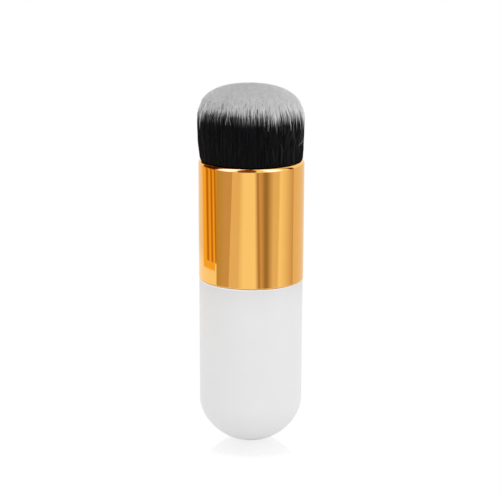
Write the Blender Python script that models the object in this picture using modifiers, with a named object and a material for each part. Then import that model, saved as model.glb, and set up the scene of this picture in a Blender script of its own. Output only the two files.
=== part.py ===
"""Chubby makeup brush: a domed tuft of bristles in a gold ferrule on a round-ended white handle.

The brush stands on the small flat of its rounded end. The origin is the centre of that flat,
+Z runs up the axis through the ferrule to the crown of the tuft, and lengths are in metres.
"""
import math
import random

import bmesh
import bpy

# Handle: a moulded shell, closed and rounded at the foot, open at the mouth
BODY_RADIUS = 0.0143
HANDLE_LENGTH = 0.0463
SIDE_DRAFT = 0.00005
BASE_HEIGHT = 0.0119
BASE_EXPONENT = 1.9
FOOT_RADIUS = 0.0045
SHELL_WALL = 0.0020
CAVITY_FLOOR_RADIUS = 0.0030
EDGE_BREAK = 0.00015

# Gap kept between any two neighbouring pieces
FIT_GAP = 0.0003

# Counterweight in the rounded end, and the pool of adhesive under it
ADHESIVE_DEPTH = 0.0024
WEIGHT_HEIGHT = 0.0100
WEIGHT_CLEARANCE = 0.0014
WEIGHT_CHAMFER = 0.0006

# Neck insert: its lower spigot closes the handle, its upper spigot carries the ferrule
SPIGOT_DEPTH = 0.0085
SPIGOT_HEIGHT = 0.0125
SPIGOT_WALL = 0.0018
SPIGOT_WEB = 0.0020
SPIGOT_CHAMFER = 0.0005
GROOVE_HEIGHT = 0.0050
GROOVE_DEPTH = 0.0010

# Ferrule: a thin tube whose top edge curls in a little
FERRULE_LENGTH = 0.0329
FERRULE_WALL = 0.0004
LIP_CURL = 0.00025
LIP_HEIGHT = 0.0012

# Tuft cup, and what holds the roots of the bristles in it
CUP_WALL = 0.0012
CUP_FLOOR = 0.0015
RESIN_DEPTH_SHARE = 0.4
RING_WALL = 0.0010
RING_HEIGHT = 0.0030
SLICE_HEIGHT = 0.0025

# Tuft: it flares past its root over the lip, bulges further, and closes in a dome.
# The crown of the dome leans to -X, and the strands turn in a little to reach it.
TUFT_FLARE = 0.00085
TUFT_FLARE_HEIGHT = 0.0030
TUFT_BULGE = 0.0012
TUFT_BULGE_HEIGHT = 0.0108
DOME_HEIGHT = 0.0100
DOME_EXPONENT = 2.54
DOME_TURN_IN = 0.0005
DOME_LEAN = 0.0007

# Strands stand in rings, and each ring has this many more strands than the ring inside it
STRAND_RINGS = 12
STRANDS_MORE_EACH_RING = 6
STRAND_GAP_SHARE = 0.10
TIP_GAP_SHARE = 0.19
TIP_RAGGEDNESS = 0.0004
STRAND_SINK = 0.0004
RING_TURN = math.radians(137.5)
TRIM_SEED = 5

# Facets of the turned pieces
TURN_STEPS = 64
INNER_TURN_STEPS = 48
ROOT_TURN_STEPS = 36
BASE_STEPS = 10
INNER_BASE_STEPS = 5
LIP_STEPS = 5
SHARP_ANGLE = math.radians(30)
MERGE_DISTANCE = 0.00001

# Heights that several pieces share
SEAM_Z = HANDLE_LENGTH + FIT_GAP
FERRULE_TOP_Z = SEAM_Z + FERRULE_LENGTH
CUP_Z = SEAM_Z + SPIGOT_HEIGHT + FIT_GAP
SLICE_TOP_Z = FERRULE_TOP_Z - FIT_GAP
SLICE_Z = SLICE_TOP_Z - SLICE_HEIGHT
RESIN_Z = CUP_Z + CUP_FLOOR + FIT_GAP
RESIN_TOP_Z = RESIN_Z + (SLICE_Z - RESIN_Z) * RESIN_DEPTH_SHARE
BULGE_Z = FERRULE_TOP_Z + TUFT_BULGE_HEIGHT

# Radii that several pieces share
BASE_RADIUS = BODY_RADIUS - SIDE_DRAFT
FERRULE_BORE = BODY_RADIUS - FERRULE_WALL
LIP_BORE = FERRULE_BORE - LIP_CURL
FERRULE_FIT_RADIUS = FERRULE_BORE - FIT_GAP
CUP_BORE = FERRULE_FIT_RADIUS - CUP_WALL
CUP_FIT_RADIUS = CUP_BORE - FIT_GAP
RING_BORE = CUP_FIT_RADIUS - RING_WALL
GROOVE_RADIUS = FERRULE_FIT_RADIUS - GROOVE_DEPTH
TUFT_ROOT_RADIUS = LIP_BORE - FIT_GAP
TUFT_BULGE_RADIUS = TUFT_ROOT_RADIUS + TUFT_BULGE

WHITE = (0.78, 0.78, 0.79, 1.0)
PALE_PLASTIC = (0.60, 0.60, 0.58, 1.0)
STEEL = (0.45, 0.45, 0.46, 1.0)
GOLD = (0.83, 0.47, 0.13, 1.0)
GLUE = (0.75, 0.68, 0.50, 1.0)
RESIN = (0.62, 0.42, 0.18, 1.0)
BLACK_HAIR = (0.008, 0.008, 0.008, 1.0)
GREY_HAIR = (0.50, 0.50, 0.50, 1.0)


def clear_scene():
    for obj in list(bpy.data.objects):
        bpy.data.objects.remove(obj, do_unlink=True)


def new_collection(name):
    collection = bpy.data.collections.new(name)
    bpy.context.scene.collection.children.link(collection)
    return collection


def new_material(name, colour, roughness, metallic=0.0):
    material = bpy.data.materials.new(name)
    material.use_nodes = True
    shader = material.node_tree.nodes["Principled BSDF"]
    shader.inputs["Base Color"].default_value = colour
    shader.inputs["Roughness"].default_value = roughness
    shader.inputs["Metallic"].default_value = metallic
    material.diffuse_color = colour
    return material


def turned(name, outline, collection, materials, closed=False, steps=TURN_STEPS):
    """Spin an outline of (radius, z) points about Z. It runs down the outer side, top to bottom.

    An open outline starts and ends on the axis, and a closed one makes a ring.
    """
    profile = bpy.data.meshes.new(name + "_profile")
    edges = [(i, i + 1) for i in range(len(outline) - 1)]
    if closed:
        edges.append((len(outline) - 1, 0))
    profile.from_pydata([(radius, 0, z) for radius, z in outline], edges, [])
    guide = bpy.data.objects.new(name + "_profile", profile)
    collection.objects.link(guide)
    screw = guide.modifiers.new("Turn", "SCREW")
    screw.axis = "Z"
    screw.steps = steps
    screw.render_steps = steps
    screw.use_merge_vertices = True
    screw.merge_threshold = MERGE_DISTANCE
    depsgraph = bpy.context.evaluated_depsgraph_get()
    mesh = bpy.data.meshes.new_from_object(guide.evaluated_get(depsgraph))
    bpy.data.objects.remove(guide, do_unlink=True)
    mesh.name = name
    mesh.shade_smooth()
    mesh.set_sharp_from_angle(angle=SHARP_ANGLE)
    mesh.materials.clear()
    for material in materials:
        mesh.materials.append(material)
    obj = bpy.data.objects.new(name, mesh)
    collection.objects.link(obj)
    return obj


def base_depth():
    """How far the full curve of the rounded end would reach below its widest circle."""
    cut = 1 - (FOOT_RADIUS / BASE_RADIUS) ** BASE_EXPONENT
    return BASE_HEIGHT / cut ** (1 / BASE_EXPONENT)


def base_z(radius, inset):
    """Height of the rounded end at a radius, on the curve that lies inset from the outside."""
    across = 1 - (radius / (BASE_RADIUS - inset)) ** BASE_EXPONENT
    return BASE_HEIGHT - (base_depth() - inset) * max(across, 0) ** (1 / BASE_EXPONENT)


def base_radius(z, inset):
    """Radius of the rounded end at a height, on the curve that lies inset from the outside."""
    down = 1 - ((BASE_HEIGHT - z) / (base_depth() - inset)) ** BASE_EXPONENT
    return (BASE_RADIUS - inset) * max(down, 0) ** (1 / BASE_EXPONENT)


def base_curve(inset, inner_radius, outer_radius, steps=INNER_BASE_STEPS):
    """Points of the rounded end from inner_radius out to outer_radius, evenly turned."""
    widest = BASE_RADIUS - inset
    first = math.asin((inner_radius / widest) ** (BASE_EXPONENT / 2))
    last = math.asin(min(outer_radius / widest, 1) ** (BASE_EXPONENT / 2))
    points = []
    for i in range(steps + 1):
        angle = first + (last - first) * i / steps
        radius = widest * math.sin(angle) ** (2 / BASE_EXPONENT)
        points.append((radius, base_z(radius, inset)))
    return points


def bore_radius(z):
    """Radius of the handle's bore, which widens with the draft of the sides."""
    along = (z - BASE_HEIGHT) / (HANDLE_LENGTH - BASE_HEIGHT)
    return BASE_RADIUS + (BODY_RADIUS - BASE_RADIUS) * along - SHELL_WALL


def make_handle_shell(collection, material):
    cavity = base_curve(SHELL_WALL, CAVITY_FLOOR_RADIUS, BASE_RADIUS - SHELL_WALL)
    outside = base_curve(0, FOOT_RADIUS, BASE_RADIUS, BASE_STEPS)
    rim = [
        (bore_radius(HANDLE_LENGTH), HANDLE_LENGTH - EDGE_BREAK),
        (bore_radius(HANDLE_LENGTH) + EDGE_BREAK, HANDLE_LENGTH),
        (BODY_RADIUS - EDGE_BREAK, HANDLE_LENGTH),
        (BODY_RADIUS, HANDLE_LENGTH - EDGE_BREAK),
    ]
    outline = [(0, cavity[0][1])] + cavity + rim + outside[::-1] + [(0, 0)]
    return turned("handle_shell", outline, collection, [material])


def adhesive_floor_z():
    return base_z(CAVITY_FLOOR_RADIUS, SHELL_WALL) + FIT_GAP


def make_weight_adhesive(collection, material):
    inset = SHELL_WALL + FIT_GAP
    floor_z = adhesive_floor_z()
    top_z = floor_z + ADHESIVE_DEPTH
    bed = base_curve(inset, base_radius(floor_z, inset), base_radius(top_z, inset))
    outline = [(0, top_z)] + bed[::-1] + [(0, floor_z)]
    return turned("weight_adhesive", outline, collection, [material], steps=INNER_TURN_STEPS)


def make_counterweight(collection, material):
    inset = SHELL_WALL + FIT_GAP
    bottom_z = adhesive_floor_z() + ADHESIVE_DEPTH + FIT_GAP
    top_z = bottom_z + WEIGHT_HEIGHT
    radius = BASE_RADIUS - SHELL_WALL - WEIGHT_CLEARANCE
    outline = [
        (0, top_z),
        (radius - WEIGHT_CHAMFER, top_z),
        (radius, top_z - WEIGHT_CHAMFER),
        (radius, base_z(radius, inset)),
        (base_radius(bottom_z, inset), bottom_z),
        (0, bottom_z),
    ]
    return turned("counterweight", outline, collection, [material], steps=INNER_TURN_STEPS)


def make_neck_insert(collection, material):
    bottom_z = HANDLE_LENGTH - SPIGOT_DEPTH
    top_z = SEAM_Z + SPIGOT_HEIGHT
    lower_radius = bore_radius(bottom_z) - FIT_GAP
    hollow_radius = lower_radius - SPIGOT_WALL
    groove_z = SEAM_Z + (SPIGOT_HEIGHT - GROOVE_HEIGHT) / 2
    groove_top_z = groove_z + GROOVE_HEIGHT
    outline = [
        (0, bottom_z + SPIGOT_WEB),
        (hollow_radius, bottom_z + SPIGOT_WEB),
        (hollow_radius, top_z),
        (FERRULE_FIT_RADIUS - SPIGOT_CHAMFER, top_z),
        (FERRULE_FIT_RADIUS, top_z - SPIGOT_CHAMFER),
        (FERRULE_FIT_RADIUS, groove_top_z),
        (GROOVE_RADIUS, groove_top_z),
        (GROOVE_RADIUS, groove_z),
        (FERRULE_FIT_RADIUS, groove_z),
        (FERRULE_FIT_RADIUS, SEAM_Z),
        (lower_radius, SEAM_Z),
        (lower_radius, bottom_z + SPIGOT_CHAMFER),
        (lower_radius - SPIGOT_CHAMFER, bottom_z),
        (0, bottom_z),
    ]
    return turned("neck_insert", outline, collection, [material], steps=INNER_TURN_STEPS)


def make_ferrule_adhesive(collection, material):
    bottom_z = SEAM_Z + (SPIGOT_HEIGHT - GROOVE_HEIGHT) / 2 + FIT_GAP
    top_z = bottom_z + GROOVE_HEIGHT - FIT_GAP - FIT_GAP
    inner_radius = GROOVE_RADIUS + FIT_GAP
    outline = [
        (FERRULE_FIT_RADIUS, top_z),
        (FERRULE_FIT_RADIUS, bottom_z),
        (inner_radius, bottom_z),
        (inner_radius, top_z),
    ]
    return turned("ferrule_adhesive", outline, collection, [material], True, INNER_TURN_STEPS)


def lip_curve(edge_radius, edge_z, reach, height):
    """Quarter ellipse from the lip's edge, out and down to the straight side of the tube."""
    points = []
    for i in range(LIP_STEPS + 1):
        angle = math.pi / 2 * i / LIP_STEPS
        radius = edge_radius + reach * math.sin(angle)
        points.append((radius, edge_z - height + height * math.cos(angle)))
    return points


def make_ferrule(collection, material):
    outer = lip_curve(LIP_BORE, FERRULE_TOP_Z, FERRULE_WALL + LIP_CURL, LIP_HEIGHT)
    inner_z = FERRULE_TOP_Z - FERRULE_WALL
    inner = lip_curve(LIP_BORE, inner_z, LIP_CURL, LIP_HEIGHT - FERRULE_WALL)
    bottom = [(BODY_RADIUS, SEAM_Z), (FERRULE_BORE, SEAM_Z)]
    outline = outer + bottom + inner[::-1]
    return turned("ferrule", outline, collection, [material], closed=True)


def make_tuft_cup(collection, material):
    top_z = SLICE_Z - FIT_GAP
    outline = [
        (0, CUP_Z + CUP_FLOOR),
        (CUP_BORE, CUP_Z + CUP_FLOOR),
        (CUP_BORE, top_z),
        (FERRULE_FIT_RADIUS, top_z),
        (FERRULE_FIT_RADIUS, CUP_Z),
        (0, CUP_Z),
    ]
    return turned("tuft_cup", outline, collection, [material], steps=INNER_TURN_STEPS)


def make_root_resin(collection, material):
    outline = [
        (0, RESIN_TOP_Z),
        (CUP_FIT_RADIUS, RESIN_TOP_Z),
        (CUP_FIT_RADIUS, RESIN_Z),
        (0, RESIN_Z),
    ]
    return turned("root_resin", outline, collection, [material], steps=INNER_TURN_STEPS)


def make_root_ring(collection, material):
    bottom_z = RESIN_TOP_Z + FIT_GAP
    outline = [
        (CUP_FIT_RADIUS, bottom_z + RING_HEIGHT),
        (CUP_FIT_RADIUS, bottom_z),
        (RING_BORE, bottom_z),
        (RING_BORE, bottom_z + RING_HEIGHT),
    ]
    return turned("root_ring", outline, collection, [material], True, INNER_TURN_STEPS)


def dome_z(radius):
    """Height of the dome at a radius."""
    across = 1 - min(radius / TUFT_BULGE_RADIUS, 1) ** DOME_EXPONENT
    return BULGE_Z + DOME_HEIGHT * across ** (1 / DOME_EXPONENT)


def tuft_point(radius, angle, z):
    """A point in the tuft, shifted to -X as the dome leans."""
    rise = max(z - BULGE_Z, 0) / DOME_HEIGHT
    return (radius * math.cos(angle) - DOME_LEAN * rise**2, radius * math.sin(angle), z)


def strand_section(ring, angle, half_angle, tuft_radius, gap_share, z):
    """The four corners of a strand where the tuft has this radius, within its cell of the ring."""
    inner_radius = (ring + gap_share) / STRAND_RINGS * tuft_radius
    outer_radius = (ring + 1 - gap_share) / STRAND_RINGS * tuft_radius
    half_angle *= 1 - gap_share
    return [
        tuft_point(inner_radius, angle - half_angle, z),
        tuft_point(outer_radius, angle - half_angle, z),
        tuft_point(outer_radius, angle + half_angle, z),
        tuft_point(inner_radius, angle + half_angle, z),
    ]


def tip_section(ring, angle, half_angle, trim):
    """The sloped end of a strand, whose corners lie on the dome, or a little below it."""
    tuft_radius = TUFT_BULGE_RADIUS - DOME_TURN_IN
    corners = []
    for x, y, _ in strand_section(ring, angle, half_angle, tuft_radius, TIP_GAP_SHARE, 0):
        radius = math.hypot(x, y)
        corners.append(tuft_point(radius, math.atan2(y, x), dome_z(radius) - trim))
    return corners


def loft(bm, sections):
    """A closed strand through its four-sided sections. Its last stretch has the grey material."""
    rings = [[bm.verts.new(corner) for corner in section] for section in sections]
    bm.faces.new(rings[0][::-1])
    bm.faces.new(rings[-1]).material_index = 1
    for lower, upper in zip(rings, rings[1:]):
        for i in range(len(lower)):
            j = (i + 1) % len(lower)
            side = bm.faces.new((lower[i], lower[j], upper[j], upper[i]))
            side.material_index = int(upper is rings[-1])


def make_strands(collection, materials):
    """All the strands, ring by ring. Those of the outer ring follow the bulge of the tuft."""
    bm = bmesh.new()
    trims = random.Random(TRIM_SEED)
    for ring in range(STRAND_RINGS):
        count = STRANDS_MORE_EACH_RING * ring + STRANDS_MORE_EACH_RING // 2
        half_angle = math.pi / count
        levels = [(TUFT_ROOT_RADIUS, SLICE_TOP_Z - STRAND_SINK)]
        if ring == STRAND_RINGS - 1:
            levels.append((TUFT_ROOT_RADIUS + TUFT_FLARE, FERRULE_TOP_Z + TUFT_FLARE_HEIGHT))
            levels.append((TUFT_BULGE_RADIUS, BULGE_Z))
        for i in range(count):
            angle = RING_TURN * ring + math.tau * i / count
            sections = []
            for radius, z in levels:
                section = strand_section(ring, angle, half_angle, radius, STRAND_GAP_SHARE, z)
                sections.append(section)
            trim = trims.uniform(0, TIP_RAGGEDNESS)
            sections.append(tip_section(ring, angle, half_angle, trim))
            loft(bm, sections)
    mesh = bpy.data.meshes.new("strands")
    bm.to_mesh(mesh)
    bm.free()
    for material in materials:
        mesh.materials.append(material)
    strands = bpy.data.objects.new("strands", mesh)
    strands.hide_render = True
    strands.display_type = "WIRE"
    collection.objects.link(strands)
    return strands


def make_bristles(collection, cutters, materials):
    """The bound roots, whose top slice fills the ferrule's mouth, with every strand fused to it."""
    root_radius = RING_BORE - FIT_GAP
    outline = [
        (0, SLICE_TOP_Z),
        (TUFT_ROOT_RADIUS, SLICE_TOP_Z),
        (TUFT_ROOT_RADIUS, SLICE_Z),
        (root_radius, SLICE_Z),
        (root_radius, RESIN_TOP_Z + FIT_GAP),
        (0, RESIN_TOP_Z + FIT_GAP),
    ]
    bristles = turned("bristles", outline, collection, materials, steps=ROOT_TURN_STEPS)
    fuse = bristles.modifiers.new("Fuse strands", "BOOLEAN")
    fuse.operation = "UNION"
    fuse.solver = "EXACT"
    fuse.object = make_strands(cutters, materials)
    return bristles


def main():
    clear_scene()
    brush = new_collection("makeup_brush")
    cutters = new_collection("cutters")
    white = new_material("white_plastic", WHITE, 0.35)
    pale = new_material("pale_plastic", PALE_PLASTIC, 0.5)
    steel = new_material("steel", STEEL, 0.35, 1.0)
    gold = new_material("gold_metal", GOLD, 0.12, 1.0)
    glue = new_material("hot_melt_glue", GLUE, 0.4)
    resin = new_material("epoxy_resin", RESIN, 0.3)
    black_hair = new_material("black_hair", BLACK_HAIR, 0.6)
    grey_hair = new_material("grey_hair", GREY_HAIR, 0.7)
    make_handle_shell(brush, white)
    make_weight_adhesive(brush, glue)
    make_counterweight(brush, steel)
    make_neck_insert(brush, pale)
    make_ferrule_adhesive(brush, glue)
    make_ferrule(brush, gold)
    make_tuft_cup(brush, pale)
    make_root_resin(brush, resin)
    make_root_ring(brush, steel)
    make_bristles(brush, cutters, [black_hair, grey_hair])


main()
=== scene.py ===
import math

import bpy
import numpy as np
from mathutils import Euler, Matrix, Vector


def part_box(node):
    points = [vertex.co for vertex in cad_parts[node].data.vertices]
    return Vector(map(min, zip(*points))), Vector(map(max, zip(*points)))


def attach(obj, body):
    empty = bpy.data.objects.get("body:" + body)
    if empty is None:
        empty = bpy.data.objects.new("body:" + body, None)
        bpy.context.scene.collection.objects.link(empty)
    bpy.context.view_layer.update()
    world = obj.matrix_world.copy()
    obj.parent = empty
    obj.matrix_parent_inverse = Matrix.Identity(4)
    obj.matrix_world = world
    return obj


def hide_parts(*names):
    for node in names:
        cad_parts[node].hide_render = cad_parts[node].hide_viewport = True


# Looks of the chubby makeup brush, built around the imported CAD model. Lengths are in metres.
# The brush stands on its foot at the origin, +Z runs up its axis, and the photo looks along +Y.
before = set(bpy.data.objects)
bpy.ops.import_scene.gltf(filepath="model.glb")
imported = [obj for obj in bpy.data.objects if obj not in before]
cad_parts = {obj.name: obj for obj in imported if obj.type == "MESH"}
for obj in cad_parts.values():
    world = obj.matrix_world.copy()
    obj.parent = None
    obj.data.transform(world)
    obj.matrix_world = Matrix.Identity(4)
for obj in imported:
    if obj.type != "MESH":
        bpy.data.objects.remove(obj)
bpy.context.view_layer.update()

MM = 0.001

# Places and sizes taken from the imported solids
FERRULE_LOW, FERRULE_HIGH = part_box("ferrule")
SEAM_RISE = 0.1 * MM
BODY_RADIUS = FERRULE_HIGH.x
SEAM_Z = FERRULE_LOW.z + SEAM_RISE
LIP_Z = FERRULE_HIGH.z

# Handle: the curves of the CAD shell, turned finer and closed up to the ferrule
SIDE_DRAFT = 0.05 * MM
SHELL_RADIUS = BODY_RADIUS + SIDE_DRAFT
BASE_RADIUS = BODY_RADIUS - SIDE_DRAFT
BASE_HEIGHT = 11.9 * MM
BASE_EXPONENT = 1.9
FOOT_RADIUS = 3.9 * MM
FOOT_EDGE = 0.25 * MM
SHELL_WALL = 2.0 * MM
CAVITY_FLOOR_RADIUS = 3.0 * MM
SEAM_GAP = 0.16 * MM
RIM_ROUND = 0.15 * MM
RIM_STEPS = 6
INNER_RIM_STEPS = 4
BASE_STEPS = 40
CAVITY_STEPS = 16

# Ferrule: thin tube with a curled lip and a softly broken lower edge
FERRULE_WALL = 0.4 * MM
FERRULE_PROUD = 0.20 * MM
FERRULE_FLARE = 0.06 * MM
LIP_CURL = 0.25 * MM
LIP_RISE = 0.40 * MM
LIP_HEIGHT = 1.13 * MM
LIP_BORE = BODY_RADIUS - FERRULE_WALL - LIP_CURL
LIP_TOP_Z = LIP_Z + LIP_RISE
LIP_STEPS = 28
INNER_LIP_STEPS = 10
LOWER_EDGE_ROUND = 0.10 * MM
LOWER_EDGE_STEPS = 6

# A narrow strip beside each rounded edge keeps the shading of the flat beyond it even
STEADY_STRIP = 0.15 * MM

# The ferrule was pressed on a little askew: the seam with the handle climbs to -X
SEAM_TILT = -0.008
SEAM_REACH = 0.4 * MM

# Tuft: it flares over the lip, bulges, and turns in to a dome that leans to -X
TUFT_LIP_GAP = 0.3 * MM
TUFT_SWELL = 1.2 * MM
BULGE_RISE = 10.8 * MM
ROOT_DEPTH = 2.0 * MM
TUFT_ROOT_RADIUS = LIP_BORE - TUFT_LIP_GAP
TUFT_BULGE_RADIUS = TUFT_ROOT_RADIUS + TUFT_SWELL
BULGE_Z = LIP_Z + BULGE_RISE
DOME_HEIGHT = 9.9 * MM
DOME_EXPONENT = 2.62
DOME_LEAN = 0.37 * MM
TUFT_SHIFT = 0.20 * MM
TUFT_SHIFT_HEIGHT = 5 * MM
LIP_FLARE_HEIGHT = 0.10 * MM
LIP_FLARE_SHARE = 0.58
TURN_IN = 1.2 * MM
ROOT_Z = LIP_Z - ROOT_DEPTH

# Hairs: thousands of fine tapered prisms set like seeds in a sunflower
HAIR_COUNT = 22000
HAIR_RADIUS = 0.082 * MM
SIDE_HAIR_RADIUS = 0.062 * MM
HAIR_TIP_SHARE = 0.75
HAIR_TIP_LENGTH = 0.16 * MM
HAIR_TAPER_LENGTH = 4 * MM
TRIM_SPREAD = 0.08 * MM
TRIM_RISE = 0.26 * MM
GOLDEN_ANGLE = math.pi * (3 - math.sqrt(5))
HAIR_SIDES = 3
SIDE_HAIR_SHARE = 0.93
SHOULDER_HAIR_SHARE = 0.78
SHOULDER_HAIR_LENGTH = 5.0 * MM
CROWN_HAIR_LENGTH = 1.8 * MM
SIDE_HAIR_RINGS = 6
SHOULDER_HAIR_RINGS = 5
CROWN_HAIR_RINGS = 2
LIP_RINGS = np.array([0.1, 0.4, 0.5, 0.65, 1.0]) * MM
HAIR_SEED = 11
SHARE_SCATTER = 0.005
ANGLE_SCATTER = 0.012
HAIR_BEND = 0.05 * MM

# Combing round the tuft: broad tufts, locks, single hairs, and the few that cross the others.
# Waves are the lowest and highest count round the tuft, and how fast they fade.
TUFT_COMB = 0.35 * MM
TUFT_COMB_WAVES = (4, 40, 0.5)
LOCK_COMB = 0.4 * MM
LOCK_COMB_WAVES = (50, 160, 0.2)
HAIR_COMB = 0.35 * MM
CROSS_SHARE = 0.2
CROSS_COMB = 1.4 * MM
COMB_LEAST_RADIUS = 1 * MM

# Tint: painted light, paler to +X; painted shade, darker on the crown and paler outwards; with patches
# seen from above and a scatter
PAINTED_RIGHT_LIGHT = 0.05
PAINTED_CROWN_SHADE = 0.18
PAINTED_CROWN_SHADE_MIDDLE = 0.62
PATCH_TINT = 0.015
PATCH_WAVES = 60
PATCH_WAVE_RANGE = (20, 110)
HAIR_TINT = 0.02

# Dye line: black roots meet grey tips at a ragged height. It drops at the sides, most on the right,
# and lobes, each an angle from the front, a width in degrees and a rise, lift or dent it.
DYE_RISE = 13.7 * MM
DYE_Z = LIP_Z + DYE_RISE
DYE_SIDE_DROP = 2.4 * MM
DYE_RIGHT_DROP = 0.4 * MM
DYE_LOBES = (
    (-58, 11, 0.65 * MM), (-34, 8, -0.6 * MM), (-32, 24, 1.3 * MM), (-21, 8, -0.3 * MM),
    (11, 9, 1.1 * MM), (30, 6, -0.7 * MM), (58, 20, 1.1 * MM),
)
DYE_CLUMP = 0.3 * MM
DYE_BROAD_SHARE = 0.3
DYE_BROAD_WAVES = (5, 20, 0.5)
DYE_FINE_SHARE = 0.7
DYE_FINE_WAVES = (200, 700, 0.1)
DYE_STRAND = 0.65 * MM
DYE_TAIL = 1.3 * MM
DYE_TAIL_DOWN = 2.6 * MM
DYE_TAIL_UP = 4.0 * MM
DYE_TAIL_SHARE = 0.07
DYE_BLEND = 1.3 * MM

# How the dye line changes across the front: a middle value, its slope to +X, and its two limits
DYE_SPREAD = (0.95, 0.9, 0.7, 1.25)
EARLY_TAILS = (0.6, 0.5, 0.2, 1.0)
LATE_TAILS = (1.3, -2.2, 0.2, 2.6)
LEFT_EDGE_SPREAD = 3
LEFT_EDGE_START = 0.8

# Painted glints: single black hairs painted lighter as a highlight, mostly at the two sides of the tuft
PAINTED_GLINT_SHARE = 0.04
PAINTED_GLINT = 0.15
PAINTED_GLINT_SIDE_LIFT = 1.5
PAINTED_GLINT_SIDE_COUNT = 4
PAINTED_GLINT_RIGHT_LEAN = 0.4

# Loose hairs. Their ends are shares of their width, at the root and near the tip. The light one
# crosses the lower right of the tuft in the photo, and has its own start angle and height, length
# and lean.
STRAY_COUNT = 260
STRAY_SEED = 5
STRAY_LEAN = 0.07
STRAY_CROSS = 0.18
STRAY_CROSS_SHARE = 0.12
STRAY_START = (0.5 * MM, 12 * MM)
STRAY_LENGTH = (3 * MM, 7 * MM)
STRAY_POINTS = 7
STRAY_LEAN_LENGTH = 5 * MM
STRAY_BOW = 0.02
STRAY_TONE = 0.11
STRAY_TONE_RANGE = (0.2, 1)
# Painted light: strays towards +X are painted lighter
PAINTED_STRAY_RIGHT_LIGHT = 1.5
STRAY_SHADE = (0.9, 1.05)
STRAY_ENDS = (0.5, 0.6)
STRAY_RADIUS = 0.035 * MM
STRAY_LIFT = 0.06 * MM
STRAY_SINK = 0.10 * MM
LIGHT_STRAY_RISE = 5.2 * MM
LIGHT_STRAY_LENGTH = 1.6 * MM
LIGHT_STRAY = (math.radians(-28), LIP_Z + LIGHT_STRAY_RISE, LIGHT_STRAY_LENGTH, 1.25)
LIGHT_STRAY_LIFT = 0.06 * MM
LIGHT_STRAY_RADIUS = 0.05 * MM
LIGHT_STRAY_TONE = 0.75

# Core: how deep it lies under the hairs, its steps up the side and over the dome, how far its dye
# line lies above theirs, and its shade with its scatter; the higher dye line and lower shade are painted
# shade
CORE_DEPTH = 0.75 * MM
CORE_TOP_DEPTH = 0.32 * MM
CORE_SIDE_STEPS = 12
CORE_DOME_STEPS = 17
CORE_DOME_ENDS = (5, 85)
CORE_PAINTED_SHADE_RISE = 1.5 * MM
CORE_PAINTED_SHADE = (0.95, 0.03)

# Steps round a turned piece, and the angle from which an edge shows as sharp
TURN_STEPS = 256
CORE_TURN_STEPS = 128
SHARP_ANGLE = math.radians(40)

# Camera, fitted to the silhouette in the photo
SENSOR_WIDTH = 36.0
LENS = 137.22
CAMERA_DISTANCE = 528.7 * MM
CAMERA_TARGET_Z = 50.0 * MM
CAMERA_RISE = math.radians(14.3254)
CAMERA_PITCH = math.radians(13.885)
CAMERA_YAW = math.radians(0.034)
CAMERA_ROLL = math.radians(0.21)

# Colours
WHITE_PLASTIC = (0.795, 0.795, 0.795, 1.0)
WHITE_PLASTIC_DIM = (0.78, 0.78, 0.78, 1.0)
GOLD = (0.97, 0.55, 0.145, 1.0)
GOLD_WARM = (0.965, 0.54, 0.138, 1.0)
BLACK_HAIR = (0.0085, 0.0085, 0.0085, 1.0)
GREY_HAIR = (0.79, 0.79, 0.79, 1.0)

# Painted shade on the handle just under the ferrule, with a painted highlight along its upper edge:
# how far it reaches, and marks of a share of the way up and a brightness there
PAINTED_UPPER_SHADE_REACH = 8 * MM
PAINTED_UPPER_SHADE_AND_HIGHLIGHT = ((0.05, 1.0), (0.5, 0.975), (0.93, 0.925), (0.96, 1.18))

# Surfaces: scale of the noise per metre, its stretch along the axis, roughness from and to, tint from
# and to, and the strength and depth of the bump. The plain grain is so many times finer than its
# mottle.
PLAIN_MOTTLE = 400
PLAIN_GRAIN = 12
PLAIN_ROUGHNESS_SWAY = 0.04
PLAIN_BUMP = (0.15, 0.02 * MM)
HANDLE_MOTTLE = 120
HANDLE_ROUGHNESS = 0.36
GOLD_MOTTLE = 300
GOLD_STREAKS = 2600
GOLD_STRETCH = (1, 1, 0.02)
GOLD_ROUGHNESS = (0.015, 0.040)
GOLD_BUMP = (0.05, 0.01 * MM)
HAIR_FLECKS = 1500
HAIR_STRETCH = (1, 1, 0.15)
HAIR_FLECK_TINT = (0.96, 1.04)
HAIR_ROUGHNESS = (0.42, 0.58)
HAIR_SPECULAR = 0.08
HAIR_BUMP = (0.2, 0.02 * MM)

# Noise lies mostly between these two values
NOISE_LOW = 0.3
NOISE_HIGH = 0.7

# Finishes of the inner pieces, which the shell and the tuft hide: the material's name, its darker
# and lighter colour, its roughness, and how metallic it is
INNER_FINISHES = {
    "neck_insert": ("insert_plastic", (0.58, 0.58, 0.56, 1), (0.63, 0.63, 0.6, 1), 0.5, 0),
    "tuft_cup": ("cup_plastic", (0.56, 0.56, 0.55, 1), (0.61, 0.61, 0.59, 1), 0.55, 0),
    "counterweight": ("turned_steel", (0.42, 0.42, 0.43, 1), (0.5, 0.5, 0.5, 1), 0.35, 1),
    "root_ring": ("ring_aluminium", (0.68, 0.68, 0.7, 1), (0.74, 0.74, 0.75, 1), 0.4, 1),
    "ferrule_adhesive": ("epoxy", (0.7, 0.63, 0.45, 1), (0.77, 0.7, 0.52, 1), 0.35, 0),
    "weight_adhesive": ("hot_melt", (0.72, 0.66, 0.5, 1), (0.78, 0.72, 0.56, 1), 0.42, 0),
    "root_resin": ("amber_resin", (0.55, 0.36, 0.14, 1), (0.65, 0.45, 0.2, 1), 0.2, 0),
}

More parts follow.
